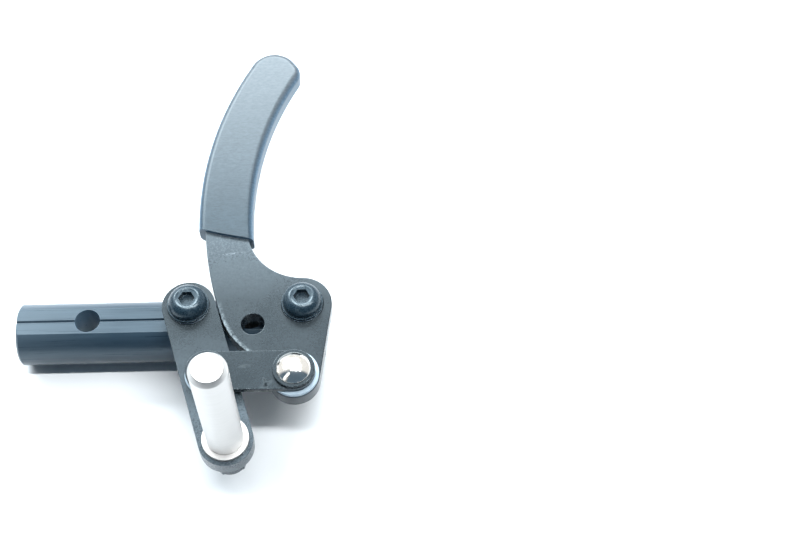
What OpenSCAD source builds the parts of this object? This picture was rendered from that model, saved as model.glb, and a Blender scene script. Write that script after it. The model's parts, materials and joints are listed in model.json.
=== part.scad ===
// Push-to-lock wheel brake: a hand lever, a link and a brake arm on a round
// mounting bar. Pushing the lever sideways drives the arm over centre, and the
// pin on the arm's free end presses on the tyre.
// Origin: centre of the bar's first fixing hole, on the bar's axis.
// +X runs along the bar to the pivots, +Y towards the grip, +Z along the pin.

/* [Mounting bar] */
// Diameter of the round bar
bar_d = 22; // [20:0.5:25]
// Length of the bar
bar_len = 109.5; // [104:0.5:120]
// Distance from the bar's free end to the first fixing hole
bar_end_to_hole = 25.2; // [20:0.1:30]
// Height of the bar's flat above its axis
bar_flat_z = 9.8; // [9.2:0.1:10.2]
// Diameter of the two fixing holes
fixing_hole_d = 9; // [6:0.5:9]
// Distance between the two fixing holes
fixing_hole_pitch = 58.3; // [56:0.1:60]
// Width of the scribed groove along the flat
groove_w = 0.9; // [0.4:0.1:1.5]

/* [Pivots] */
// Distance from the first fixing hole to the arm pivot
arm_pivot_x = 37.2; // [36:0.1:38]
// Distance between the arm pivot and the lever pivot
pivot_pitch = 40; // [39.9:0.1:40.5]
// Nominal thread size of the pivot screws
screw_d = 8; // [6:1:8]
// Outside diameter of the pivot sleeves
sleeve_d = 12; // [11:0.5:12]
// Height of the sleeve flange that lifts the plates off the bar
sleeve_flange_t = 2.9; // [2:0.1:3]

/* [Plates] */
// Thickness of the lever and of the brake arm
plate_t = 6; // [5:0.5:7]
// Half width of the brake arm
arm_half_w = 9.35; // [9:0.05:9.4]
// Distance from the arm pivot to the brake pin
arm_len = 53.3; // [50:0.1:56]
// Distance from the arm pivot to the link rivet
arm_link_len = 28.4; // [27:0.1:30]
// Direction of the arm at rest, from the arm pivot
arm_dir = -73.8; // [-75:0.1:-73]
// Radius of the lever plate around its pivot
lever_head_r = 10.4; // [10:0.1:11]
// Radius of the lever plate around the link rivet
lever_lobe_r = 8.8; // [8.5:0.1:9.5]
// Link rivet on the lever, from the lever pivot
lever_rivet_offset = [-2.5, -27.6];
// Diameter of the bolt access hole in the lever
access_hole_d = 8; // [6:0.5:9]

/* [Handle and grip] */
// Centre of the handle's curve, from the lever pivot
handle_centre_offset = [99.4, 38.3];
// Radius of the handle's outer edge
handle_outer_r = 134.9; // [134.3:0.1:135]
// Width of the handle inside the grip
handle_w = 15.2; // [13:0.1:15.5]
// Radius of the concave corner between handle and lever head
throat_r = 20.5; // [18:0.5:22]
// Thickness of the soft wall over the handle's outer edge
grip_wall = 2.4; // [2:0.1:3]
// Overall thickness of the grip
grip_t = 8.6; // [8.2:0.1:10]

/* [Link] */
// Width of the link
link_w = 14.6; // [14:0.1:15]
// Thickness of the link
link_t = 2.2; // [2:0.1:3]
// Diameter of both rivet shanks
rivet_d = 6; // [5:0.5:6]
// Diameter of the rivets' domed heads
rivet_head_d = 12; // [10:0.5:13]

/* [Brake pin] */
// Diameter of the brake pin
pin_d = 12.5; // [11:0.5:14]
// Length of the brake pin above the arm
pin_len = 54.4; // [45:0.2:58]
// Diameter of the collar under the pin
pin_collar_d = 15.9; // [15:0.1:18]

/* [Hidden] */
$fn = 96;

// Gaps: running fit on radius, gap between faces that move, cutter overshoot
run_fit = 0.05;
face_gap = 0.3;
over = 1;

bar_r = bar_d / 2;
bar_x0 = -bar_end_to_hole;
bar_chamfer = 0.8;
tapped_depth = 17;

arm_pivot = [arm_pivot_x, 0];
lever_pivot = [arm_pivot_x + pivot_pitch, 0];
arm_unit = [cos(arm_dir), sin(arm_dir)];
arm_side = [-arm_unit[1], arm_unit[0]];
pin_at = arm_pivot + arm_len * arm_unit;
arm_rivet_at = arm_pivot + arm_link_len * arm_unit;
lever_rivet_at = lever_pivot + lever_rivet_offset;
access_hole_at = lever_pivot + [-17.2, -7.8];

// Heights, from the bar's axis
flange_top = bar_flat_z + sleeve_flange_t;
thrust_t = 0.6;
plate_z = flange_top + face_gap + thrust_t;
plate_top = plate_z + plate_t;
sleeve_top = plate_top + face_gap;
washer_t = 1;
head_z = sleeve_top + washer_t;
spacer_t = 1.4;
link_z = plate_top + spacer_t + face_gap;
link_top = link_z + link_t;
rivet_washer_t = 0.8;
rivet_head_z = link_top + face_gap + rivet_washer_t;

// Pivot hardware
flange_d = 17;
bush_d = 14.5;
pivot_washer_d = 14.6;
screw_head_d = 13.6;
screw_head_h = 4.4;
screw_rim_h = 0.8;
screw_crown_d = 8;
screw_dome_flatness = 1.35;
hex_af = 5;
hex_depth = 2.6;
socket_dish = 0.3;
screw_reach = 15;

// Rivet hardware
rivet_dome_h = 3;
rivet_tail_h = 1.8;
rivet_tail_d = 10;
rivet_washer_d = 14.4;
lever_spacer_d = 17;
arm_spacer_d = 15.4;

// Travel slot of the link's open end, in the link's own direction
slot_r = rivet_d / 2 + 0.8;
slot_start = [0.4, 0.5];
slot_end = [3.1, 0.5];

// Pin hardware
pin_chamfer = 1.2;
pin_chamfer_slope = 1.6;
pin_collar_t = 1.5;
pin_stud_d = 8;
pin_stud_reach = 10.6;
nut_washer_d = 16;
nut_washer_t = 1.2;
nut_af = 13;
nut_h = 6.4;
nut_turn = 15;
nut_corner_cut = 0.7;
nut_collar_d = 12;
nut_collar_h = 2.6;
nut_insert_d = 10.4;
nut_insert_h = 1.6;

// Lever outline
handle_centre = lever_pivot + handle_centre_offset;
handle_inner_r = handle_outer_r - handle_w;
heel_r = 30;
heel_dir = unit([-99.06, -33.62]);
heel_centre = handle_centre + (handle_outer_r - heel_r) * heel_dir;
throat_centre = meet(lever_pivot, lever_head_r + throat_r,
    handle_centre, handle_inner_r - throat_r);
handle_root_angle = 184.3;
handle_tip_angle = 152.5;

// Grip outline
grip_outer_r = handle_outer_r + grip_wall;
grip_inner_centre = handle_centre + [8.4, -1.15];
grip_inner_r = 126.1;
grip_tip_r = 9.3;
grip_tip_at = [65.2, 101.35];
grip_corner_r = 6.45;
grip_corner_at = [68.9, 101.1];
grip_mouth = [[39.3, 31.2], [58.9, 26.4]];
grip_edge = 1.1;
far = 60;

// Unit vector along v
function unit(v) = v / norm(v);

// Quarter turn of v to the left
function left(v) = [-v[1], v[0]];

// Point r1 from c1 and r2 from c2, on the left of the way from c1 to c2
function meet(c1, r1, c2, r2) =
    let (d = norm(c2 - c1), u = (c2 - c1) / d,
        a = (d * d + r1 * r1 - r2 * r2) / (2 * d), h = sqrt(r1 * r1 - a * a))
    c1 + a * u + h * left(u);

// Side direction of the outer tangent of two circles, right of c1 to c2
function tangent_side(c1, r1, c2, r2) =
    let (d = norm(c2 - c1), u = (c2 - c1) / d, k = (r1 - r2) / d)
    k * u - sqrt(1 - k * k) * left(u);

// Washer or sleeve between two heights
module ring(at, outer_d, inner_d, z0, z1) {
    translate([at[0], at[1], z0])
        difference() {
            cylinder(d = outer_d, h = z1 - z0);
            translate([0, 0, -over])
                cylinder(d = inner_d, h = z1 - z0 + 2 * over);
        }
}

// Strip with round ends between two points
module strip(a, b, r) {
    side = r * left(unit(b - a));
    translate(a) circle(r);
    translate(b) circle(r);
    polygon([a + side, a - side, b - side, b + side]);
}

// Hole through the plates at a point
module drill(at, d) {
    translate([at[0], at[1], -over]) cylinder(d = d, h = plate_t + 2 * over);
}

// Round bar cut flat on one side, with chamfered ends
module bar_blank() {
    intersection() {
        translate([bar_x0, 0, 0])
            rotate([0, 90, 0])
                rotate_extrude()
                    polygon([[0, 0], [bar_r - bar_chamfer, 0], [bar_r, bar_chamfer],
                        [bar_r, bar_len - bar_chamfer], [bar_r - bar_chamfer, bar_len],
                        [0, bar_len]]);
        translate([bar_x0 - over, -bar_r - over, -bar_r - over])
            cube([bar_len + 2 * over, bar_d + 2 * over, bar_r + bar_flat_z + over]);
    }
}

module mounting_bar() {
    color([0.29, 0.33, 0.37])
        difference() {
            bar_blank();
            translate([bar_x0 - over, 0, bar_flat_z])
                rotate([0, 90, 0])
                    linear_extrude(bar_len + 2 * over)
                        polygon([[-over, -groove_w / 2], [0, -groove_w / 2],
                            [groove_w * 0.7, 0], [0, groove_w / 2],
                            [-over, groove_w / 2]]);
            for (x = [0, fixing_hole_pitch])
                translate([x, 0, -bar_r - over])
                    cylinder(d = fixing_hole_d, h = bar_d + 2 * over);
            for (p = [arm_pivot, lever_pivot])
                translate([p[0], p[1], bar_flat_z - tapped_depth])
                    cylinder(d = screw_d + 2 * run_fit, h = tapped_depth + over);
        }
}

// Shouldered sleeve that stands on the bar's flat and carries a plate
module pivot_sleeve(at) {
    color([0.62, 0.62, 0.60])
        difference() {
            union() {
                translate([at[0], at[1], bar_flat_z])
                    cylinder(d = flange_d, h = sleeve_flange_t);
                translate([at[0], at[1], bar_flat_z])
                    cylinder(d = sleeve_d, h = sleeve_top - bar_flat_z);
            }
            translate([at[0], at[1], bar_flat_z - over])
                cylinder(d = screw_d + 2 * run_fit, h = sleeve_top - bar_flat_z + 2 * over);
        }
}

module arm_pivot_sleeve() {
    pivot_sleeve(arm_pivot);
}

module lever_pivot_sleeve() {
    pivot_sleeve(lever_pivot);
}

// Dished washer under a pivot screw's head
module pivot_washer(at) {
    color([0.13, 0.15, 0.18])
        ring(at, pivot_washer_d, screw_d + 2 * run_fit, sleeve_top, head_z);
}

module arm_pivot_washer() {
    pivot_washer(arm_pivot);
}

module lever_pivot_washer() {
    pivot_washer(lever_pivot);
}

// Button-head screw: straight rim, dome, and a dished top with a hex socket
module pivot_screw(at) {
    head_r = screw_head_d / 2;
    crown_r = screw_crown_d / 2;
    hex_r = hex_af / 2 / cos(30);
    dish_z = screw_head_h - socket_dish;
    rise = screw_head_h - screw_rim_h;
    dome_r = screw_dome_flatness *
        (rise * rise + (head_r - crown_r) * (head_r - crown_r)) / (2 * rise);
    half = norm([rise, head_r - crown_r]) / 2;
    sag = sqrt(dome_r * dome_r - half * half);
    mid = [(head_r + crown_r) / 2, screw_rim_h + rise / 2];
    inward = -unit([rise, head_r - crown_r]);
    dome_c = mid + sag * inward;
    a0 = atan2(screw_rim_h - dome_c[1], head_r - dome_c[0]);
    a1 = atan2(screw_head_h - dome_c[1], crown_r - dome_c[0]);
    steps = 10;
    color([0.09, 0.11, 0.13])
        translate([at[0], at[1], head_z])
            difference() {
                rotate_extrude()
                    polygon(concat([[0, -over], [head_r, -over], [head_r, screw_rim_h]],
                        [for (i = [1:steps - 1])
                            let (a = a0 + (a1 - a0) * i / steps)
                            dome_c + dome_r * [cos(a), sin(a)]],
                        [[crown_r, screw_head_h], [hex_r + face_gap, dish_z],
                            [0, dish_z]]));
                translate([0, 0, -2 * over])
                    cylinder(d = screw_head_d + 2 * over, h = 2 * over);
                translate([0, 0, screw_head_h - hex_depth])
                    cylinder(r = hex_r, h = hex_depth + over, $fn = 6);
            }
    color([0.09, 0.11, 0.13])
        translate([at[0], at[1], bar_flat_z - screw_reach])
            cylinder(d = screw_d, h = head_z - bar_flat_z + screw_reach);
}

module arm_pivot_screw() {
    pivot_screw(arm_pivot);
}

module lever_pivot_screw() {
    pivot_screw(lever_pivot);
}

// Big pie slice about a point, used to keep part of a curve
module slice(at, a0, a1, r) {
    mid = (a0 + a1) / 2;
    translate(at)
        polygon([[0, 0], r * [cos(a0), sin(a0)], r * 1.2 * [cos(mid), sin(mid)],
            r * [cos(a1), sin(a1)]]);
}

// Curved handle, a stretch of a flat ring with a round tip
module handle_outline() {
    mid_r = handle_outer_r - handle_w / 2;
    intersection() {
        difference() {
            translate(handle_centre) circle(handle_outer_r, $fn = 360);
            translate(handle_centre) circle(handle_inner_r, $fn = 360);
        }
        slice(handle_centre, handle_tip_angle, handle_root_angle + 6, handle_outer_r + far);
    }
    translate(handle_centre + mid_r * [cos(handle_tip_angle), sin(handle_tip_angle)])
        circle(handle_w / 2);
}

// Lever head between handle and pivots: handle edge, round heel, concave throat
module head_outline() {
    handle_side = unit(throat_centre - handle_centre);
    difference() {
        intersection() {
            polygon([heel_centre + (heel_r + far) * heel_dir,
                handle_centre + (handle_outer_r + far) *
                    [cos(handle_root_angle - 1), sin(handle_root_angle - 1)],
                handle_centre + handle_inner_r * handle_side,
                throat_centre,
                lever_pivot + lever_head_r * unit(throat_centre - lever_pivot),
                lever_pivot,
                lever_rivet_at,
                lever_rivet_at - [far, 0]]);
            translate(handle_centre) circle(handle_outer_r, $fn = 360);
            union() {
                translate(heel_centre) circle(heel_r);
                polygon([handle_centre, heel_centre + (heel_r + far) * heel_dir,
                    heel_centre + (heel_r + far) * heel_dir + [0, 3 * far],
                    handle_centre + [0, 3 * far]]);
            }
        }
        translate(throat_centre) circle(throat_r);
    }
}

// Round lever head and link lobe, joined by their outer tangent
module lobe_outline() {
    side = tangent_side(lever_rivet_at, lever_lobe_r, lever_pivot, lever_head_r);
    translate(lever_pivot) circle(lever_head_r);
    translate(lever_rivet_at) circle(lever_lobe_r);
    polygon([lever_pivot, lever_pivot + lever_head_r * side,
        lever_rivet_at + lever_lobe_r * side, lever_rivet_at]);
}

module lever_plate() {
    color([0.36, 0.40, 0.43])
        translate([0, 0, plate_z])
            difference() {
                union() {
                    linear_extrude(plate_t) handle_outline();
                    linear_extrude(plate_t) head_outline();
                    linear_extrude(plate_t) lobe_outline();
                }
                drill(lever_pivot, bush_d);
                drill(lever_rivet_at, rivet_d);
                drill(access_hole_at, access_hole_d);
            }
}

// Disc as thick as the grip, with bevelled edges
module bevelled_disc(at, r) {
    half = grip_t / 2;
    e = grip_edge;
    translate(at)
        rotate_extrude()
            polygon([[0, -half], [r - e, -half], [r, e - half],
                [r, half - e], [r - e, half], [0, half]]);
}

// Soft sleeve over the handle: bevelled edges, closed tip, open mouth
module grip_body() {
    half = grip_t / 2;
    e = grip_edge;
    r = grip_outer_r;
    q = grip_inner_r;
    difference() {
        union() {
            intersection() {
                translate(handle_centre)
                    rotate_extrude($fn = 360)
                        polygon([[0, -half], [r - e, -half], [r, e - half],
                            [r, half - e], [r - e, half], [0, half]]);
                translate([0, 0, -half - over])
                    linear_extrude(grip_t + 2 * over)
                        polygon([grip_mouth[1], grip_mouth[0],
                            grip_mouth[0] + [-far, 0], grip_tip_at + [-far, far / 2],
                            grip_tip_at, grip_corner_at, grip_inner_centre]);
            }
            bevelled_disc(grip_tip_at, grip_tip_r);
            bevelled_disc(grip_corner_at, grip_corner_r);
        }
        translate(grip_inner_centre)
            rotate_extrude($fn = 360)
                polygon([[0, -half - over], [q + e + over, -half - over], [q, e - half],
                    [q, half - e], [q + e + over, half + over], [0, half + over]]);
    }
}

module lever_grip() {
    color([0.38, 0.44, 0.50])
        difference() {
            translate([0, 0, plate_z + plate_t / 2]) grip_body();
            translate([0, 0, plate_z]) linear_extrude(plate_t) handle_outline();
        }
}

module plain_bush(at) {
    color([0.72, 0.70, 0.64])
        ring(at, bush_d, sleeve_d + 2 * run_fit, plate_z, plate_top);
}

module lever_bush() {
    plain_bush(lever_pivot);
}

module arm_bush() {
    plain_bush(arm_pivot);
}

module thrust_washer(at) {
    color([0.90, 0.91, 0.90])
        ring(at, flange_d, sleeve_d + 2 * run_fit, plate_z - thrust_t, plate_z);
}

module lever_thrust_washer() {
    thrust_washer(lever_pivot);
}

module arm_thrust_washer() {
    thrust_washer(arm_pivot);
}

// Rivet with a domed head above the link and a low head under the plate
module link_rivet(at) {
    dome_r = (pow(rivet_head_d / 2, 2) + pow(rivet_dome_h, 2)) / (2 * rivet_dome_h);
    color([0.86, 0.86, 0.85])
        translate([at[0], at[1], 0]) {
            translate([0, 0, plate_z - rivet_tail_h])
                cylinder(d = rivet_tail_d, h = rivet_tail_h);
            translate([0, 0, plate_z - over])
                cylinder(d = rivet_d, h = rivet_head_z - plate_z + 2 * over);
            intersection() {
                translate([0, 0, rivet_head_z + rivet_dome_h - dome_r]) sphere(dome_r);
                translate([0, 0, rivet_head_z])
                    cylinder(d = rivet_head_d, h = rivet_dome_h + over);
            }
        }
}

module lever_rivet() {
    link_rivet(lever_rivet_at);
}

module arm_rivet() {
    link_rivet(arm_rivet_at);
}

module rivet_washer(at) {
    color([0.30, 0.33, 0.36])
        ring(at, rivet_washer_d, rivet_d, rivet_head_z - rivet_washer_t, rivet_head_z);
}

module lever_rivet_washer() {
    rivet_washer(lever_rivet_at);
}

module arm_rivet_washer() {
    rivet_washer(arm_rivet_at);
}

// Nylon spacer between a plate and the link
module link_spacer(at, d) {
    color([0.86, 0.90, 0.92])
        ring(at, d, rivet_d, plate_top, plate_top + spacer_t);
}

module lever_link_spacer() {
    link_spacer(lever_rivet_at, lever_spacer_d);
}

module arm_link_spacer() {
    link_spacer(arm_rivet_at, arm_spacer_d);
}

// Flat link; its arm end has a short slot, its lever end a round bore
module link_plate() {
    span = lever_rivet_at - arm_rivet_at;
    along = unit(span);
    slot_a = arm_rivet_at + slot_start[0] * along + slot_start[1] * left(along);
    slot_b = arm_rivet_at + slot_end[0] * along + slot_end[1] * left(along);
    color([0.33, 0.38, 0.41])
        translate([0, 0, link_z])
            difference() {
                linear_extrude(link_t)
                    difference() {
                        strip(arm_rivet_at, lever_rivet_at, link_w / 2);
                        strip(slot_a, slot_b, slot_r);
                    }
                translate([lever_rivet_at[0], lever_rivet_at[1], -over])
                    cylinder(d = rivet_d + 2 * run_fit, h = link_t + 2 * over);
            }
}

module brake_arm() {
    color([0.34, 0.38, 0.41])
        translate([0, 0, plate_z])
            difference() {
                linear_extrude(plate_t) strip(arm_pivot, pin_at, arm_half_w);
                drill(arm_pivot, bush_d);
                drill(arm_rivet_at, rivet_d);
                drill(pin_at, pin_stud_d);
            }
}

// Pin with a chamfered tip and a stud that passes through the arm
module brake_pin() {
    r = pin_d / 2;
    color([0.92, 0.92, 0.91])
        translate([pin_at[0], pin_at[1], plate_top]) {
            rotate_extrude()
                polygon([[0, pin_collar_t], [r, pin_collar_t],
                    [r, pin_len - pin_chamfer_slope * pin_chamfer],
                    [r - pin_chamfer, pin_len], [0, pin_len]]);
            translate([0, 0, -plate_t - pin_stud_reach])
                cylinder(d = pin_stud_d, h = plate_t + pin_stud_reach + pin_collar_t + over);
        }
}

module pin_collar() {
    color([0.90, 0.90, 0.90])
        ring(pin_at, pin_collar_d, pin_stud_d, plate_top, plate_top + pin_collar_t);
}

module pin_nut_washer() {
    color([0.20, 0.22, 0.25])
        ring(pin_at, nut_washer_d, pin_stud_d, plate_z - nut_washer_t, plate_z);
}

// Hex nut with a round collar that holds the locking ring
module pin_nut() {
    seat = plate_z - nut_washer_t;
    corner_r = nut_af / 2 / cos(30);
    corner_slope = nut_corner_cut / (corner_r - nut_af / 2);
    color([0.22, 0.25, 0.28])
        translate([pin_at[0], pin_at[1], 0])
            difference() {
                union() {
                    intersection() {
                        translate([0, 0, seat - nut_h])
                            rotate([0, 0, nut_turn])
                                cylinder(r = corner_r, h = nut_h, $fn = 6);
                        rotate_extrude()
                            polygon([[0, seat - nut_h], [nut_af / 2, seat - nut_h],
                                [corner_r + over, seat - nut_h + corner_slope *
                                    (corner_r + over - nut_af / 2)],
                                [corner_r + over, seat], [0, seat]]);
                    }
                    translate([0, 0, seat - nut_h - nut_collar_h])
                        cylinder(d = nut_collar_d, h = nut_collar_h + over);
                }
                translate([0, 0, seat - nut_h - nut_collar_h - over])
                    cylinder(d = pin_stud_d, h = nut_h + nut_collar_h + 2 * over);
                translate([0, 0, seat - nut_h - nut_insert_h])
                    cylinder(d = nut_insert_d, h = nut_insert_h);
            }
}

module pin_nut_insert() {
    seat = plate_z - nut_washer_t - nut_h;
    color([0.20, 0.38, 0.62])
        ring(pin_at, nut_insert_d, pin_stud_d, seat - nut_insert_h, seat);
}

mounting_bar();
arm_pivot_sleeve();
lever_pivot_sleeve();
arm_pivot_washer();
lever_pivot_washer();
arm_pivot_screw();
lever_pivot_screw();
lever_plate();
lever_grip();
lever_bush();
lever_thrust_washer();
lever_rivet();
lever_rivet_washer();
lever_link_spacer();
link_plate();
brake_arm();
arm_bush();
arm_thrust_washer();
arm_rivet();
arm_rivet_washer();
arm_link_spacer();
brake_pin();
pin_collar();
pin_nut_washer();
pin_nut();
pin_nut_insert();
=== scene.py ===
"""Looks of the push-to-lock wheel brake: finishes, the soft grip, light, floor and camera."""
import json
import math

import bmesh
import bpy
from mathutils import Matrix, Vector


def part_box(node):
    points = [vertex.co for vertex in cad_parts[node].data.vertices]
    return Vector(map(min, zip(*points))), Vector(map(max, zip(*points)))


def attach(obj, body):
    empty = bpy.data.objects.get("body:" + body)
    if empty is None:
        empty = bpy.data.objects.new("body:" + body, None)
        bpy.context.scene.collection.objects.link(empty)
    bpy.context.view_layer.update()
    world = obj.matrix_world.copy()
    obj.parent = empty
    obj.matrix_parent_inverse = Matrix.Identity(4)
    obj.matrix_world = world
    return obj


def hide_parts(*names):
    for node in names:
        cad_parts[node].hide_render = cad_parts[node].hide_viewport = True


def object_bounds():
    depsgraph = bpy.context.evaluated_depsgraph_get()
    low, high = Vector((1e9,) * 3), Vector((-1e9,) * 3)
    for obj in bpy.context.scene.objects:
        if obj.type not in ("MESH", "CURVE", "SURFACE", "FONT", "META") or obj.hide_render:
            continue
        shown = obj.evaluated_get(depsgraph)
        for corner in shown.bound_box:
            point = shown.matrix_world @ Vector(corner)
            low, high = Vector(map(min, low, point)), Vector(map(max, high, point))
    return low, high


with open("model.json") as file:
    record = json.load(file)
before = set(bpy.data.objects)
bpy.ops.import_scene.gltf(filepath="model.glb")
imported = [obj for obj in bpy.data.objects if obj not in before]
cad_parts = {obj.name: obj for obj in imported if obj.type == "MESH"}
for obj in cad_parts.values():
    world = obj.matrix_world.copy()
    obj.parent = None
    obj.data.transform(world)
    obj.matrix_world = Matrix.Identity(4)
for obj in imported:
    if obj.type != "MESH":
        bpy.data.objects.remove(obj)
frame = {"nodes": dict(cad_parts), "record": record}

MM = 0.001
CAD_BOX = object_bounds()
NODES = frame["nodes"]


# ---------------------------------------------------------------- materials

# Cool cast of the reflections on dark coatings
SHEEN = (0.76, 0.91, 1.0, 1)

# Pale rub marks and dull smudges on the plates: centre, half sizes, turn, strength
RUB_MARKS = (((52.0, 20.8), (5.0, 0.4), 5, 0.30),)
SMUDGES = (((65.6, -33.0), (2.8, 0.8), 35, 0.6),
           ((65.2, -32.4), (0.7, 2.4), 20, 0.6),
           ((58.0, -26.0), (2.4, 0.7), 10, 0.3))

# Paler walls of the bar's open fixing hole: centre, half sizes in mm, turn
BAR_HOLE = ((0, 0), (4.6, 4.6), 0)

# Painted highlight along the lever's rough-cut heel edge: centre and radius of its curve in plan, and
# the band's width, in mm
HEEL_CENTRE = (77.3, 4.6)
HEEL_RADIUS = 30
HEEL_BAND = 1.6

# Width of the line that edge_mask picks out, in metres
EDGE_LINE = 0.25 * MM


class Finish:
    """A node material built up from a Principled shader."""

    def __init__(self, name, metallic, specular=0.5):
        self.material = bpy.data.materials.new(name)
        self.material.use_nodes = True
        self.nodes = self.material.node_tree.nodes
        self.links = self.material.node_tree.links
        self.shader = self.nodes["Principled BSDF"]
        self.shader.inputs["Metallic"].default_value = metallic
        self.shader.inputs["Specular IOR Level"].default_value = specular
        if not metallic:
            self.shader.inputs["Specular Tint"].default_value = SHEEN
        self.place = self.add("ShaderNodeTexCoord").outputs["Object"]
        self.normal = None

    def add(self, kind, **values):
        node = self.nodes.new(kind)
        for key, value in values.items():
            setattr(node, key, value)
        return node

    def stretched(self, scale):
        """Coordinates scaled per axis, so a texture can run as streaks."""
        mapping = self.add("ShaderNodeMapping")
        mapping.inputs["Scale"].default_value = scale
        self.links.new(self.place, mapping.inputs["Vector"])
        return mapping.outputs["Vector"]

    def noise(self, scale, detail=4, stretch=None, rough=0.5):
        node = self.add("ShaderNodeTexNoise")
        node.inputs["Scale"].default_value = scale
        node.inputs["Detail"].default_value = detail
        node.inputs["Roughness"].default_value = rough
        vector = self.stretched(stretch) if stretch else self.place
        self.links.new(vector, node.inputs["Vector"])
        return node.outputs["Fac"]

    def ramp(self, value, low, high, start=0.35, end=0.65):
        """Colour that goes from low to high as value goes from start to end."""
        node = self.add("ShaderNodeValToRGB")
        node.color_ramp.elements[0].position = start
        node.color_ramp.elements[0].color = low
        node.color_ramp.elements[1].position = end
        node.color_ramp.elements[1].color = high
        self.links.new(value, node.inputs["Fac"])
        return node.outputs["Color"]

    def remap(self, value, low, high, start=0.35, end=0.65):
        """Number that goes from low to high as value goes from start to end."""
        node = self.add("ShaderNodeMapRange")
        node.inputs["From Min"].default_value = start
        node.inputs["From Max"].default_value = end
        node.inputs["To Min"].default_value = low
        node.inputs["To Max"].default_value = high
        self.links.new(value, node.inputs["Value"])
        return node.outputs["Result"]

    def feed(self, socket, value):
        """Links a socket's value, or sets a plain one."""
        if isinstance(value, bpy.types.NodeSocket):
            self.links.new(value, socket)
        else:
            socket.default_value = value

    def maths(self, kind, *values):
        """One step of arithmetic on sockets or numbers."""
        node = self.add("ShaderNodeMath", operation=kind)
        for socket, value in zip(node.inputs, values):
            self.feed(socket, value)
        return node.outputs["Value"]

    def scaled(self, value, factor):
        return self.maths("MULTIPLY", value, factor)

    def broken(self, mask, scale):
        """The mask, broken up by noise as a rub mark is."""
        return self.maths("MULTIPLY", mask, self.remap(self.noise(scale, 4), 0, 1))

    def along(self, axis, start, end):
        """Goes from 0 at start to 1 at end, in mm along an axis."""
        split = self.add("ShaderNodeSeparateXYZ")
        self.links.new(self.place, split.inputs["Vector"])
        return self.remap(split.outputs[axis], 0, 1, start * MM, end * MM)

    def patch(self, at, size, turn, solid=0.5):
        """1 inside an ellipse seen from above, which fades out past the solid share of its size."""
        mapping = self.add("ShaderNodeMapping", vector_type="TEXTURE")
        mapping.inputs["Location"].default_value = (at[0] * MM, at[1] * MM, 0)
        mapping.inputs["Rotation"].default_value = (0, 0, math.radians(turn))
        mapping.inputs["Scale"].default_value = (size[0] * MM, size[1] * MM, 1000)
        self.links.new(self.place, mapping.inputs["Vector"])
        length = self.add("ShaderNodeVectorMath", operation="LENGTH")
        self.links.new(mapping.outputs["Vector"], length.inputs[0])
        return self.remap(length.outputs["Value"], 1, 0, solid, 1)

    def heel_highlight_masks(self):
        """Two masks that leave the band of painted highlight along the lever's rough-cut heel when
        multiplied.
        """
        offset = self.add("ShaderNodeVectorMath", operation="SUBTRACT")
        self.links.new(self.place, offset.inputs[0])
        offset.inputs[1].default_value = (HEEL_CENTRE[0] * MM, HEEL_CENTRE[1] * MM, 0)
        flat = self.add("ShaderNodeVectorMath", operation="MULTIPLY")
        self.links.new(offset.outputs["Vector"], flat.inputs[0])
        flat.inputs[1].default_value = (1, 1, 0)
        length = self.add("ShaderNodeVectorMath", operation="LENGTH")
        self.links.new(flat.outputs["Vector"], length.inputs[0])
        inner, outer = (HEEL_RADIUS - HEEL_BAND) * MM, (HEEL_RADIUS - HEEL_BAND / 3) * MM
        return (self.remap(length.outputs["Value"], 0, 1, inner, outer),
                self.maths("MULTIPLY", self.along("Y", 2, -6), self.along("X", 72, 66)))

    def edge_mask(self, strength):
        """Goes up to strength on a thin line along each edge."""
        rounded = self.add("ShaderNodeBevel", samples=8)
        rounded.inputs["Radius"].default_value = EDGE_LINE
        shape = self.add("ShaderNodeNewGeometry")
        dot = self.add("ShaderNodeVectorMath", operation="DOT_PRODUCT")
        self.links.new(rounded.outputs["Normal"], dot.inputs[0])
        self.links.new(shape.outputs["Normal"], dot.inputs[1])
        return self.remap(dot.outputs["Value"], strength, 0, 0.80, 0.97)

    def side_mask(self):
        """1 on upright faces, 0 on faces that look up."""
        split = self.add("ShaderNodeSeparateXYZ")
        self.links.new(self.add("ShaderNodeNewGeometry").outputs["Normal"], split.inputs["Vector"])
        return self.remap(split.outputs["Z"], 1, 0, 0.55, 0.95)

    def mix(self, factor, a, b, blend="MIX"):
        """Colour a, covered by colour b as far as factor says."""
        node = self.add("ShaderNodeMix", data_type="RGBA", blend_type=blend)
        self.feed(node.inputs["Factor"], factor)
        self.feed(node.inputs["A"], a)
        self.feed(node.inputs["B"], b)
        return node.outputs["Result"]

    def colour(self, value):
        self.links.new(value, self.shader.inputs["Base Color"])

    def roughness(self, value):
        self.links.new(value, self.shader.inputs["Roughness"])

    def bump(self, height, strength, depth):
        """Adds a layer of relief, depth in metres."""
        node = self.add("ShaderNodeBump")
        node.inputs["Strength"].default_value = strength
        node.inputs["Distance"].default_value = depth
        self.links.new(height, node.inputs["Height"])
        if self.normal:
            self.links.new(self.normal, node.inputs["Normal"])
        self.normal = node.outputs["Normal"]
        self.links.new(self.normal, self.shader.inputs["Normal"])


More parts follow.
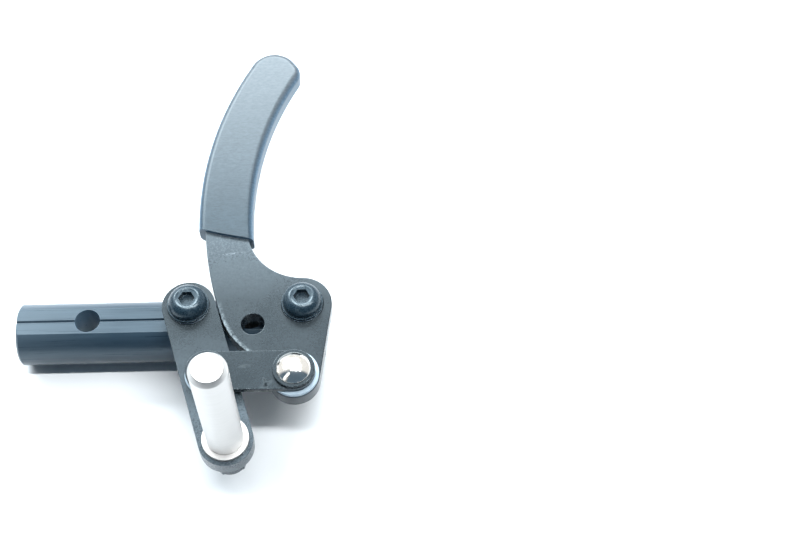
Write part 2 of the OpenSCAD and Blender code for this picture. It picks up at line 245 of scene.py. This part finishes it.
def anodised_bar():
    """Dark blue-grey anodised metal, drawn along its length, paler towards its free end."""
    f = Finish("anodised_bar", metallic=0, specular=0.48)
    streaks = f.noise(1500, 4, stretch=(0.02, 1, 1), rough=0.65)
    blotches = f.noise(55, 4)
    grey = f.ramp(streaks, (0.007, 0.017, 0.029, 1), (0.017, 0.034, 0.052, 1))
    bar_tone = f.mix(f.remap(blotches, 0, 0.8), grey, (0.016, 0.030, 0.046, 1))
    # The bar's colour grows paler towards its free end.
    pale = f.along("X", 10, -24)
    bar_tone = f.mix(f.scaled(pale, 0.55), bar_tone, (0.050, 0.072, 0.094, 1))
    bar_tone = f.mix(f.patch(*BAR_HOLE, solid=0.98), bar_tone, (0.10, 0.155, 0.21, 1))
    # The pale thin line along the edges is a painted edge highlight.
    f.colour(f.mix(f.edge_mask(0.25), bar_tone, (0.13, 0.18, 0.23, 1)))
    f.roughness(f.remap(streaks, 0.27, 0.36))
    f.bump(streaks, 0.35, 0.05 * MM)
    f.bump(f.noise(3800, 2), 0.12, 0.02 * MM)
    return f.material


def coated_plate(name="coated_plate", heel_highlight=False, paler_end=None, dark_edge=True):
    """Grey coated steel with a fine grain, faint clouds, a rub mark and a few smudges."""
    f = Finish(name, metallic=0, specular=0.49)
    grain = f.noise(1500, 3, rough=0.75)
    cloud = f.noise(40, 4)
    base = f.ramp(cloud, (0.003, 0.006, 0.009, 1), (0.007, 0.011, 0.015, 1))
    # A thin line along the edges: with dark_edge it is painted shade, a dark blue metallic outline that
    # reflects little; without it, a pale painted edge highlight.
    edge = f.edge_mask(1.0)
    base = f.mix(edge, base, (0.012, 0.035, 0.065, 1) if dark_edge else (0.16, 0.20, 0.24, 1))
    if dark_edge:
        f.links.new(edge, f.shader.inputs["Metallic"])
    # The plate is painted lighter towards one end along Y.
    if paler_end:
        base = f.mix(f.along("Y", *paler_end), base, (0.040, 0.053, 0.065, 1))
    if heel_highlight:
        # Painted highlight: a pale band along the lever's heel, where its rough-cut edge catches the
        # light.
        heel = f.broken(f.maths("MULTIPLY", *f.heel_highlight_masks()), 1200)
        base = f.mix(heel, base, (0.13, 0.16, 0.18, 1))
    for at, size, turn, strength in RUB_MARKS:
        mark = f.broken(f.patch(at, size, turn), 1500)
        base = f.mix(f.scaled(mark, strength), base, (0.22, 0.26, 0.30, 1))
    rough = f.remap(cloud, 0.25, 0.30)
    for at, size, turn, strength in SMUDGES:
        smudge = f.broken(f.patch(at, size, turn), 1300)
        rough = f.maths("ADD", rough, f.scaled(smudge, strength))
        base = f.mix(smudge, base, (0, 0.001, 0.002, 1))
    specks = f.ramp(grain, (0.65, 0.67, 0.70, 1), (1.5, 1.45, 1.4, 1), 0.3, 0.7)
    f.colour(f.mix(1.0, base, specks, "MULTIPLY"))
    f.roughness(f.maths("ADD", rough, f.remap(grain, -0.015, 0.015)))
    f.bump(grain, 0.32, 0.02 * MM)
    return f.material


def black_hardware():
    """Black-finished steel with turning marks, and painted highlights along its edges."""
    f = Finish("black_hardware", metallic=0, specular=0.5)
    grain = f.noise(1800, 3)
    base = f.ramp(grain, (0.005, 0.013, 0.021, 1), (0.012, 0.025, 0.037, 1))
    # The pale thin line along the edges is a painted edge highlight.
    f.colour(f.mix(f.edge_mask(0.10), base, (0.12, 0.15, 0.18, 1)))
    f.roughness(f.remap(grain, 0.24, 0.32))
    f.bump(grain, 0.12, 0.02 * MM)
    return f.material


def soft_grip():
    """Matte blue-grey moulded grip with fine lines across it and closed pores."""
    f = Finish("soft_grip", metallic=0, specular=0.42)
    lines = f.noise(1500, 4, stretch=(0.4, 1, 1), rough=0.7)
    cloud = f.noise(60, 3)
    base = f.ramp(cloud, (0.005, 0.012, 0.020, 1), (0.009, 0.018, 0.028, 1))
    # Painted light: the grip is painted lighter towards its tip.
    base = f.mix(f.along("Y", 35, 108), base, (0.050, 0.058, 0.068, 1))
    # Painted light: the upright sides are painted lighter and bluer than the top.
    base = f.mix(f.side_mask(), base, (0.055, 0.100, 0.150, 1))
    f.colour(f.mix(1.0, base, f.ramp(lines, (0.6, 0.63, 0.66, 1), (1.5, 1.45, 1.4, 1), 0.3, 0.7),
                   "MULTIPLY"))
    f.roughness(f.remap(lines, 0.30, 0.38))
    f.bump(lines, 0.5, 0.04 * MM)
    return f.material


def nickel():
    """Bright nickel plating, almost a mirror."""
    f = Finish("nickel", metallic=1)
    smear = f.noise(300, 3)
    f.colour(f.ramp(smear, (0.86, 0.84, 0.80, 1), (0.95, 0.93, 0.90, 1)))
    f.roughness(f.remap(smear, 0.11, 0.18))
    f.bump(f.noise(700, 2), 0.1, 0.03 * MM)
    return f.material


def satin_pin():
    """Bright satin-plated steel with a faint turned texture."""
    f = Finish("satin_pin", metallic=1)
    rings = f.noise(700, 3, stretch=(0.05, 0.05, 1))
    f.colour(f.ramp(rings, (0.46, 0.452, 0.445, 1), (0.50, 0.492, 0.485, 1)))
    f.roughness(f.remap(rings, 0.36, 0.44))
    f.bump(rings, 0.04, 0.02 * MM)
    return f.material


def nylon():
    """Pale translucent nylon."""
    f = Finish("nylon", metallic=0)
    cloud = f.noise(400, 3)
    f.colour(f.ramp(cloud, (0.27, 0.35, 0.42, 1), (0.35, 0.43, 0.50, 1)))
    f.roughness(f.remap(cloud, 0.35, 0.5))
    f.bump(cloud, 0.1, 0.03 * MM)
    return f.material


def plain_steel():
    """Bare zinc-plated steel."""
    f = Finish("plain_steel", metallic=1)
    grain = f.noise(1500, 3)
    f.colour(f.ramp(grain, (0.45, 0.47, 0.49, 1), (0.56, 0.58, 0.60, 1)))
    f.roughness(f.remap(grain, 0.25, 0.38))
    f.bump(grain, 0.15, 0.02 * MM)
    return f.material


def nylon_insert():
    """Blue nylon locking ring."""
    f = Finish("nylon_insert", metallic=0)
    cloud = f.noise(400, 3)
    f.colour(f.ramp(cloud, (0.02, 0.10, 0.30, 1), (0.03, 0.13, 0.36, 1)))
    f.roughness(f.remap(cloud, 0.35, 0.5))
    f.bump(cloud, 0.1, 0.03 * MM)
    return f.material


FINISHES = {make.__name__: make() for make in (
    anodised_bar, coated_plate, black_hardware, soft_grip, nickel, satin_pin, nylon,
    plain_steel, nylon_insert)}
OWN_FINISH = {
    "lever_plate": coated_plate("lever_heel_highlight", heel_highlight=True, paler_end=(2, 32)),
    # The arm's finish carries the pale painted edge highlight.
    "brake_arm": coated_plate("arm_edge_highlight", paler_end=(-10, -50), dark_edge=False)}

# Bevel widths in metres, by finish
EDGES = {"anodised_bar": 0.15 * MM, "coated_plate": 0.35 * MM, "black_hardware": 0.12 * MM,
         "nickel": 0.25 * MM, "satin_pin": 0.2 * MM, "nylon": 0.15 * MM,
         "plain_steel": 0.15 * MM, "nylon_insert": 0.1 * MM, "soft_grip": 0.3 * MM}

# Weld distance in metres, angles in degrees, and how many steps round off an edge
WELD_DISTANCE = 0.002 * MM
FLAT_ANGLE = 0.6
SHARP_ANGLE = 28
SHARP_GRIP_ANGLE = 40
EDGE_STEPS = 3


def round_edges(thing, width, angle):
    """Bevels the sharp edges and smooths the shading, with modifiers."""
    edge = thing.modifiers.new("edge", "BEVEL")
    edge.width = width
    edge.segments = EDGE_STEPS
    edge.limit_method = "ANGLE"
    edge.angle_limit = math.radians(angle)
    edge.harden_normals = False
    smooth = thing.modifiers.new("smooth", "WEIGHTED_NORMAL")
    smooth.keep_sharp = False
    for polygon in thing.data.polygons:
        polygon.use_smooth = True


def dress(name, node, finish):
    """Gives a CAD node its finish, and rounds its edges with modifiers."""
    for place in node.material_slots:
        place.link = "OBJECT"
        place.material = OWN_FINISH.get(name, FINISHES[finish])
    weld = node.modifiers.new("weld", "WELD")
    weld.merge_threshold = WELD_DISTANCE
    flat = node.modifiers.new("flat", "DECIMATE")
    flat.decimate_type = "DISSOLVE"
    flat.angle_limit = math.radians(FLAT_ANGLE)
    round_edges(node, EDGES[finish], SHARP_ANGLE)


SLOT_OF = {part["node"]: part["material_slot"] for part in frame["record"]["subparts"]}

# ---------------------------------------------------------------- soft grip

# Plan of the grip in mm: circles as (centre, radius), and the two ends of its mouth
GRIP_OUTER = (Vector((176.6, 38.3)), 137.3)
GRIP_INNER = (Vector((185.0, 37.15)), 126.1)
GRIP_TIP = (Vector((65.2, 101.35)), 9.3)
GRIP_CORNER = (Vector((68.9, 101.1)), 6.45)
GRIP_MOUTH = (Vector((39.3, 31.2)), Vector((58.9, 26.4)))
ALONG_MOUTH = (GRIP_MOUTH[1] - GRIP_MOUTH[0]).normalized()
# How far the rounded edges reach in plan and in height, and how far the mouth bows out, in mm
GRIP_ROUND = (2.7, 2.3)
GRIP_BOW = 0.4
# Angle at which the tip's circle passes into the corner's
GRIP_TANGENT = 35.9
# Steps along each side, round the tip, round the corner, across a cap's mouth and round an edge
SIDE_STEPS, TIP_STEPS, CORNER_STEPS, CAP_STEPS, ROUND_STEPS = 30, 18, 10, 8, 7

# Plan of the cavity that holds the handle
HANDLE_OUTER = 134.93
HANDLE_INNER = 119.67
HANDLE_TIP_ANGLE = 152.5
CAVITY_GAP = 0.03
CAVITY_SIDE_STEPS, CAVITY_TIP_STEPS = 24, 12


def direction(angle):
    """Plan vector of length 1 at an angle in degrees."""
    return Vector((math.cos(math.radians(angle)), math.sin(math.radians(angle))))


def angle_of(v):
    """Angle of a plan vector, from 0 to 360 degrees."""
    return math.degrees(math.atan2(v.y, v.x)) % 360


def arc(middle, radius, start, end, steps):
    """Points on an arc between two angles in degrees."""
    return [middle + radius * direction(start + (end - start) * i / steps)
            for i in range(steps + 1)]


def on_mouth(middle, radius, near):
    """Where a circle crosses the mouth's line, at the crossing nearest to a point."""
    a = GRIP_MOUTH[0]
    foot = a + ALONG_MOUTH * (middle - a).dot(ALONG_MOUTH)
    half = math.sqrt(max(radius ** 2 - (foot - middle).length_squared, 0)) * ALONG_MOUTH
    return min((foot + half, foot - half), key=lambda p: (p - near).length)


def grip_line(inset):
    """Plan of the grip, drawn in by inset, from the mouth's outer end round the tip to its inner end."""
    middle, radius = GRIP_OUTER[0], GRIP_OUTER[1] - inset
    start = angle_of(on_mouth(middle, radius, GRIP_MOUTH[0]) - middle)
    tip_angle = angle_of(GRIP_TIP[0] - middle)
    line = arc(middle, radius, start, tip_angle, SIDE_STEPS)
    line += arc(GRIP_TIP[0], GRIP_TIP[1] - inset, tip_angle, GRIP_TANGENT, TIP_STEPS)[1:]
    middle, radius = GRIP_INNER[0], GRIP_INNER[1] + inset
    corner_angle = angle_of(GRIP_CORNER[0] - middle)
    line += arc(GRIP_CORNER[0], GRIP_CORNER[1] - inset, GRIP_TANGENT, corner_angle - 180, CORNER_STEPS)
    end = angle_of(on_mouth(middle, radius, GRIP_MOUTH[1]) - middle)
    return line + arc(middle, radius, corner_angle, end, SIDE_STEPS)[1:]


def cavity_line():
    """Plan of the cavity, from the mouth's outer end round the handle's tip to its inner end."""
    middle = GRIP_OUTER[0]
    start = angle_of(on_mouth(middle, HANDLE_OUTER, GRIP_MOUTH[0]) - middle)
    end = angle_of(on_mouth(middle, HANDLE_INNER, GRIP_MOUTH[1]) - middle)
    tip_at = middle + (HANDLE_OUTER + HANDLE_INNER) / 2 * direction(HANDLE_TIP_ANGLE)
    tip_r = (HANDLE_OUTER - HANDLE_INNER) / 2
    line = arc(middle, HANDLE_OUTER, start, HANDLE_TIP_ANGLE, CAVITY_SIDE_STEPS)
    line += arc(tip_at, tip_r, HANDLE_TIP_ANGLE, HANDLE_TIP_ANGLE - 180, CAVITY_TIP_STEPS)[1:]
    return line + arc(middle, HANDLE_INNER, HANDLE_TIP_ANGLE, end, CAVITY_SIDE_STEPS)[1:]


def bowed(p):
    """A point on the mouth's line, pushed out along the mouth's gentle bow."""
    a, b = GRIP_MOUTH
    share = (p - a).dot(ALONG_MOUTH) / (b - a).length
    return p + Vector((ALONG_MOUTH.y, -ALONG_MOUTH.x)) * GRIP_BOW * 4 * share * (1 - share)


def new_vertex(bm, p, z):
    """Adds a vertex at a plan point and a height in mm."""
    return bm.verts.new((p.x * MM, p.y * MM, z * MM))


def add_shell(bm, lines, heights):
    """Skin through open lines at given heights, capped at both ends. Returns its mouth edges."""
    rows = []
    for line, z in zip(lines, heights):
        points = [bowed(line[0])] + line[1:-1] + [bowed(line[-1])]
        rows.append([new_vertex(bm, p, z) for p in points])
    for upper, lower in zip(rows, rows[1:]):
        for i in range(len(upper) - 1):
            bm.faces.new((upper[i], upper[i + 1], lower[i + 1], lower[i]))
    mouth = [bm.edges.get((upper[i], lower[i])) for i in (0, -1)
             for upper, lower in zip(rows, rows[1:])]
    for row, line, z in ((rows[0], lines[0], heights[0]), (rows[-1], lines[-1], heights[-1])):
        between = [bowed(line[-1].lerp(line[0], i / CAP_STEPS)) for i in range(1, CAP_STEPS)]
        rim = [row[-1]] + [new_vertex(bm, p, z) for p in between] + [row[0]]
        bm.faces.new(row + rim[1:-1])
        mouth += [bm.edges.get(pair) for pair in zip(rim, rim[1:])]
    return mouth


def make_grip():
    """Moulded sleeve with rounded edges, a round tip and an open mouth round the handle."""
    low, high = (corner.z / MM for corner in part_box("lever_grip"))
    plate_low, plate_high = (corner.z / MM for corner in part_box("lever_plate"))
    turns = [math.radians(90 * i / ROUND_STEPS) for i in range(ROUND_STEPS + 1)]
    insets = [GRIP_ROUND[0] * (1 - math.sin(t)) for t in turns]
    drops = [GRIP_ROUND[1] * (1 - math.cos(t)) for t in turns]
    lines = [grip_line(inset) for inset in insets + insets[::-1]]
    heights = [high - d for d in drops] + [low + d for d in drops[::-1]]
    bm = bmesh.new()
    mouth = add_shell(bm, lines, heights)
    mouth += add_shell(bm, [cavity_line()] * 2, [plate_high + CAVITY_GAP, plate_low - CAVITY_GAP])
    bmesh.ops.triangle_fill(bm, edges=mouth, use_beauty=True)
    bmesh.ops.recalc_face_normals(bm, faces=bm.faces)
    mesh = bpy.data.meshes.new("grip_sleeve")
    bm.to_mesh(mesh)
    bm.free()
    grip = bpy.data.objects.new("grip_sleeve", mesh)
    bpy.context.collection.objects.link(grip)
    mesh.materials.append(FINISHES["soft_grip"])
    round_edges(grip, EDGES["soft_grip"], SHARP_GRIP_ANGLE)
    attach(grip, "hand_lever")
    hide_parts("lever_grip")


# ---------------------------------------------------------------- camera, floor and light

# Camera fitted to the photo: place in metres, tilt and turn in radians, lens and sensor in mm
CAMERA_AT = Vector((105.6, -244.4, 467.0)) * MM
CAMERA_PITCH = math.radians(30)
CAMERA_TURN = math.radians(-1.384)
CAMERA_LENS = 65.25
CAMERA_SENSOR = 36
CAMERA_CLIP = (0.01, 50)

# The table under the bar: its height and half its width, in metres
FLOOR_Z = CAD_BOX[0][2]
FLOOR_HALF = 4.0


def make_camera():
    data = bpy.data.cameras.new("camera")
    data.lens = CAMERA_LENS
    data.sensor_width = CAMERA_SENSOR
    data.clip_start, data.clip_end = CAMERA_CLIP
    camera = bpy.data.objects.new("camera", data)
    camera.location = CAMERA_AT
    camera.rotation_euler = (CAMERA_PITCH, 0, CAMERA_TURN)
    bpy.context.collection.objects.link(camera)
    bpy.context.scene.camera = camera


def make_floor():
    mesh = bpy.data.meshes.new("floor")
    corners = [(-FLOOR_HALF, -FLOOR_HALF), (FLOOR_HALF, -FLOOR_HALF),
               (FLOOR_HALF, FLOOR_HALF), (-FLOOR_HALF, FLOOR_HALF)]
    mesh.from_pydata([(x, y, FLOOR_Z) for x, y in corners], [], [(0, 1, 2, 3)])
    floor = bpy.data.objects.new("floor", mesh)
    bpy.context.collection.objects.link(floor)
    f = Finish("floor", metallic=0, specular=0.2)
    paper = f.noise(30, 3)
    f.colour(f.ramp(paper, (0.62, 0.64, 0.665, 1), (0.65, 0.67, 0.69, 1)))
    f.roughness(f.remap(paper, 0.6, 0.7))
    mesh.materials.append(f.material)


# Point on the bar between the two pivots that the light panels are placed from
LIT_POINT = Vector((60, 0, 0)) * MM

# Light panels, each as LIT_POINT sees it: angles in degrees from straight up towards +Y, slopes
# along X, distance in metres, radiance and colour
PANELS = {
    "strip": ((-4.8, -2.6), (-0.2, 0.75), 1.5, 125, (0.98, 1.0, 1.0)),
    "ceiling": ((9, 34), (-0.9, 0.9), 1.6, 0.62, (0.92, 0.98, 1.0)),
    "softbox": ((38, 58), (-1.3, 0.6), 1.7, 24, (0.92, 0.98, 1.0)),
    "wing": ((6, 36), (-1.2, -0.30), 1.5, 3.2, (0.88, 0.97, 1.0))}

# Room light: dark towards -Y and pale towards +Y, the share of the way along Y where it turns,
# and the backdrop that the camera sees
ROOM_DARK = (0.10, 0.15, 0.20, 1)
ROOM_PALE = (0.92, 0.92, 0.90, 1)
ROOM_TURN = (0.40, 0.5)
BACKDROP = (0.95, 0.96, 0.97, 1)


def area_light(name, at, aim, size_x, size_y, power, colour):
    data = bpy.data.lights.new(name, "AREA")
    data.shape = "RECTANGLE"
    data.size = size_x
    data.size_y = size_y
    data.energy = power
    data.color = colour
    light = bpy.data.objects.new(name, data)
    light.location = at
    light.rotation_euler = (aim - at).to_track_quat("-Z", "Y").to_euler()
    light.visible_camera = False
    bpy.context.collection.objects.link(light)


def band_light(name, angles, slopes, away, radiance, colour):
    """Panel that fills a band of the sky above LIT_POINT."""
    low, high = (math.radians(a) for a in angles)
    middle = (low + high) / 2
    depth = 2 * away * math.tan((high - low) / 2)
    reach = away * math.cos(middle)
    width = (slopes[1] - slopes[0]) * reach
    shift = (slopes[0] + slopes[1]) / 2 * reach
    up = Vector((0, math.sin(middle), math.cos(middle))) * away
    at = LIT_POINT + up + Vector((shift, 0, 0))
    area_light(name, at, at - up, width, depth, radiance * math.pi * width * depth, colour)


def make_world():
    """Room light that changes from dark to pale along Y."""
    world = bpy.data.worlds.new("studio")
    world.use_nodes = True
    nodes, links = world.node_tree.nodes, world.node_tree.links
    split = nodes.new("ShaderNodeSeparateXYZ")
    links.new(nodes.new("ShaderNodeTexCoord").outputs["Generated"], split.inputs["Vector"])
    shift = nodes.new("ShaderNodeMapRange")
    shift.inputs["From Min"].default_value = -1
    links.new(split.outputs["Y"], shift.inputs["Value"])
    ramp = nodes.new("ShaderNodeValToRGB")
    for stop, place, colour in zip(ramp.color_ramp.elements, ROOM_TURN, (ROOM_DARK, ROOM_PALE)):
        stop.position = place
        stop.color = colour
    links.new(shift.outputs["Result"], ramp.inputs["Fac"])
    backdrop = nodes.new("ShaderNodeMix")
    backdrop.data_type = "RGBA"
    backdrop.inputs["B"].default_value = BACKDROP
    links.new(nodes.new("ShaderNodeLightPath").outputs["Is Camera Ray"], backdrop.inputs["Factor"])
    links.new(ramp.outputs["Color"], backdrop.inputs["A"])
    links.new(backdrop.outputs["Result"], nodes["Background"].inputs["Color"])
    bpy.context.scene.world = world


for name, node in NODES.items():
    dress(name, node, SLOT_OF[name])

make_grip()
make_camera()
make_floor()
make_world()
for name, panel in PANELS.items():
    band_light(name, *panel)
bpy.context.scene.view_settings.view_transform = "Standard"
